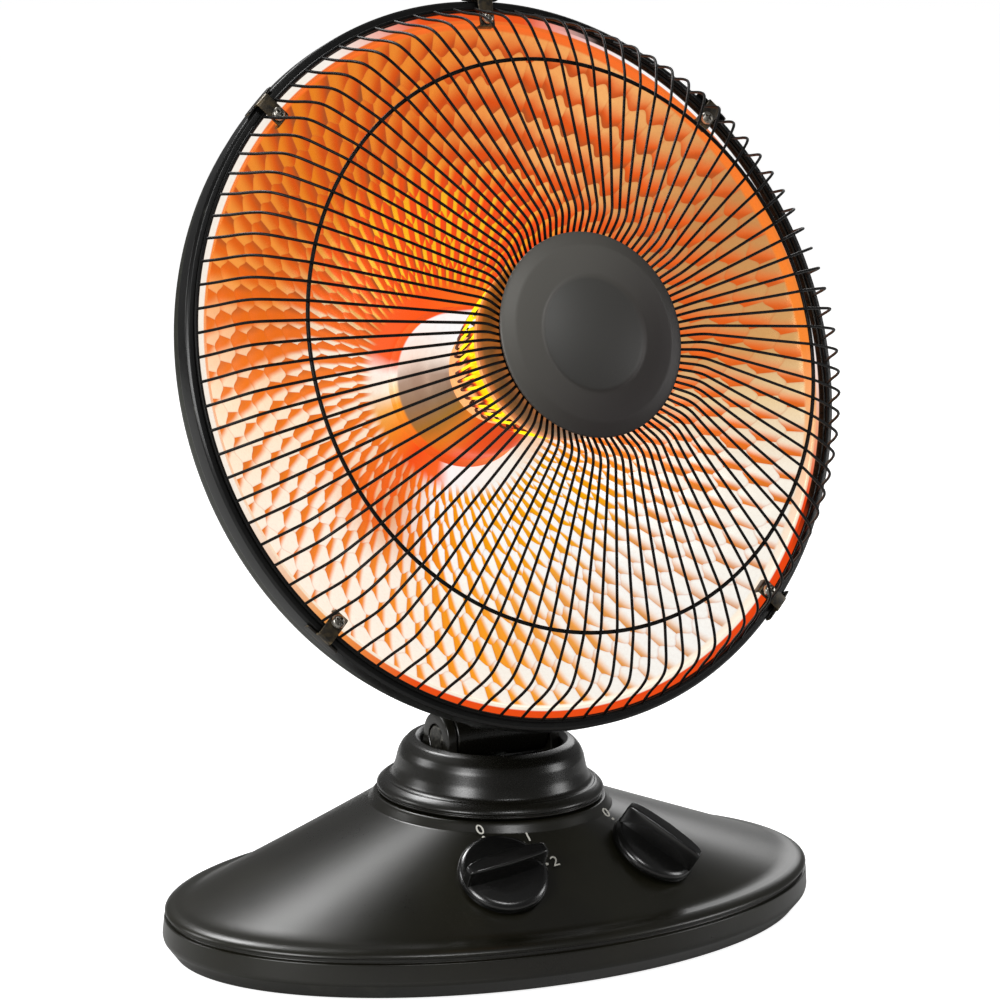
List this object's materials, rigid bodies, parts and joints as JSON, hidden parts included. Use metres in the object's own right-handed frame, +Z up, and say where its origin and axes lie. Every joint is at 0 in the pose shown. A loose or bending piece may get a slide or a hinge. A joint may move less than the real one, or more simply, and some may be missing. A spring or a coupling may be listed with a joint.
{
  "type": "parabolic heater",
  "caption": "Free-standing parabolic dish heater: dimpled reflector, radial wire guard and glowing coil on a tilting neck and swinging turret over an oval base with two knobs.",
  "frame": {"origin": "on the floor under the middle of the oval base", "axes": "+Z up, the dish faces -Y, +X to the right when seen from the front"},
  "size_m": [0.37, 0.223, 0.4743],
  "materials": {
    "black_plastic": "satin moulded plastic",
    "gloss_black": "polished",
    "rubber": "matt",
    "steel": "plated",
    "grey_plastic": "moulded",
    "black_paint": "semi-gloss enamel",
    "guard_wire": "gloss enamel",
    "cap_paint": "satin enamel",
    "clip_metal": "stamped strip",
    "mirror_sheet": "bright anodised, dimpled",
    "ceramic": "fired ceramic",
    "hot_wire": "glowing resistance wire"
  },
  "bodies": {
    "base": {"base_cover": "black_plastic", "base_plate": "black_plastic", "foot_1": "rubber", "foot_2": "rubber", "foot_3": "rubber", "foot_4": "rubber", "base_screw_1": "steel", "base_screw_2": "steel", "base_screw_3": "steel", "base_screw_4": "steel", "swivel_bearing": "grey_plastic", "swing_motor": "steel", "motor_bracket_1": "steel", "motor_bracket_2": "steel", "heat_switch": "grey_plastic", "swing_switch": "grey_plastic", "tip_switch": "grey_plastic", "cord_gland": "rubber"},
    "heat_dial": {"heat_knob": "gloss_black"},
    "swing_dial": {"swing_knob": "gloss_black"},
    "plunger": {"tip_plunger": "grey_plastic"},
    "crank": {"crank_disc": "grey_plastic"},
    "link": {"drive_link": "steel"},
    "turret": {"turret_cover": "black_plastic", "swivel_post": "grey_plastic", "swing_arm": "steel", "tilt_bolt": "steel", "tilt_nut": "steel"},
    "head": {"neck": "black_plastic", "rear_cover": "black_paint", "rim_ring": "black_paint", "reflector": "mirror_sheet", "guard": "guard_wire", "guard_mid_ring": "guard_wire", "guard_centre": "guard_wire", "centre_cap": "cap_paint", "clip_1": "clip_metal", "clip_2": "clip_metal", "clip_3": "clip_metal", "clip_4": "clip_metal", "clip_5": "clip_metal", "clip_screw_1": "steel", "clip_screw_2": "steel", "clip_screw_3": "steel", "clip_screw_4": "steel", "clip_screw_5": "steel", "hub_cup": "mirror_sheet", "element_former": "ceramic", "heating_coil": "hot_wire", "element_shield": "mirror_sheet", "element_stud": "steel", "stud_nut": "steel", "mount_plate": "steel", "thermal_cutout": "grey_plastic"}
  },
  "joints": [
    {"name": "turret_swing", "type": "hinge", "parent": "base", "child": "turret", "pos_m": [0, 0.007, 0.07], "axis": [0, 0, 1], "range_deg": [-35, 35]},
    {"name": "head_tilt", "type": "hinge", "parent": "turret", "child": "head", "pos_m": [0, 0.007, 0.101], "axis": [1, 0, 0], "range_deg": [-8, 20]},
    {"name": "heat_turn", "type": "hinge", "parent": "base", "child": "heat_dial", "pos_m": [-0.0376, -0.06961, 0.0487], "axis": [-0.1562, -0.5829, 0.7974], "range_deg": [-35, 70]},
    {"name": "swing_turn", "type": "hinge", "parent": "base", "child": "swing_dial", "pos_m": [0.05304, -0.06444, 0.0487], "axis": [0.21, -0.5167, 0.83], "range_deg": [-70, 0]},
    {"name": "plunger_press", "type": "slide", "parent": "base", "child": "plunger", "axis": [0, 0, 1], "range_m": [-0.004, 0], "stiffness_N_per_m": 40, "springref_m": -0.01},
    {"name": "crank_turn", "type": "hinge", "parent": "base", "child": "crank", "pos_m": [-0.062, 0.01522, 0.03], "axis": [0, 0, 1], "range_deg": [-69, 69]},
    {"name": "link_turn", "type": "hinge", "parent": "crank", "child": "link", "pos_m": [-0.062, 0.02442, 0.035], "axis": [0, 0, 1], "range_deg": [-69, 69]}
  ],
  "couplings": [
    {"joint": "crank_turn", "follows": "turret_swing", "ratio": 1.94},
    {"joint": "link_turn", "follows": "turret_swing", "ratio": -1.94}
  ]
}
